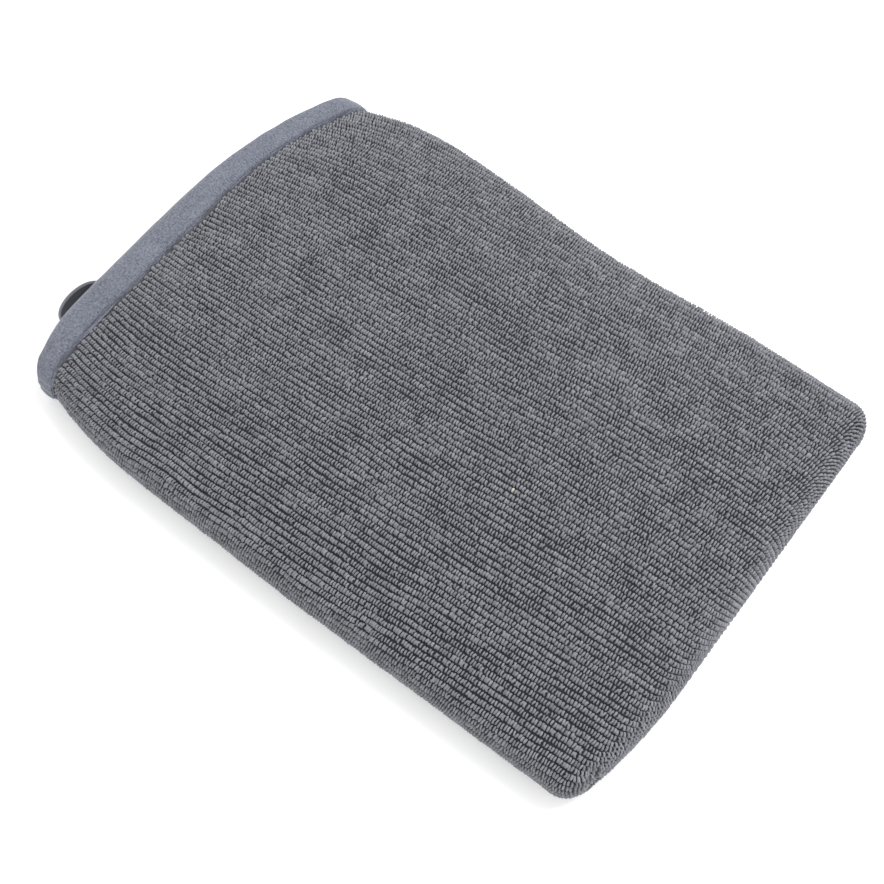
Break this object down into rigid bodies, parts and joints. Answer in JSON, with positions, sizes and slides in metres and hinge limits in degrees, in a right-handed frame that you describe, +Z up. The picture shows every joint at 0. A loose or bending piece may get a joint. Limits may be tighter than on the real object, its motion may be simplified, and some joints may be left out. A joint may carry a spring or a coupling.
{
  "type": "wash mitt",
  "caption": "Flat padded wash mitt of looped grey microfibre terry, open at a blue-grey knitted cuff with a dark ribbon loop.",
  "frame": {"origin": "middle of the footprint, on the surface the mitt lies on", "axes": "+X runs from the open mouth to the closed tip, +Y across the width away from the hanging loop's side, +Z up, out of the front panel"},
  "size_m": [0.2274, 0.157, 0.022],
  "materials": {
    "terry": "looped microfibre pile, matt",
    "foam": "open-cell foam sheet",
    "lining": "thin warp-knit lining",
    "cuff": "brushed jersey knit",
    "elastic": "braided elastic tape",
    "thread": "spun polyester thread",
    "ribbon": "grosgrain ribbon"
  },
  "bodies": {
    "back_half": {"back_terry_panel": "terry", "back_foam_pad": "foam", "back_lining": "lining", "back_cuff": "cuff", "back_cuff_elastic": "elastic", "back_cuff_seam": "thread", "closing_seam": "thread", "loop_bartack": "thread"},
    "front_half": {"front_terry_panel": "terry", "front_foam_pad": "foam", "front_lining": "lining", "front_cuff": "cuff", "front_cuff_elastic": "elastic", "front_cuff_seam": "thread"},
    "loop": {"hanging_loop": "ribbon"}
  },
  "joints": [
    {"name": "mouth_open", "type": "hinge", "parent": "back_half", "child": "front_half", "pos_m": [0.1137, 0, 0.009], "axis": [0, 1, 0], "range_deg": [0, 5.5]},
    {"name": "loop_swing", "type": "hinge", "parent": "back_half", "child": "loop", "pos_m": [-0.0957, -0.044, 0.0093], "axis": [0, 0, 1], "range_deg": [-12, 12]}
  ]
}
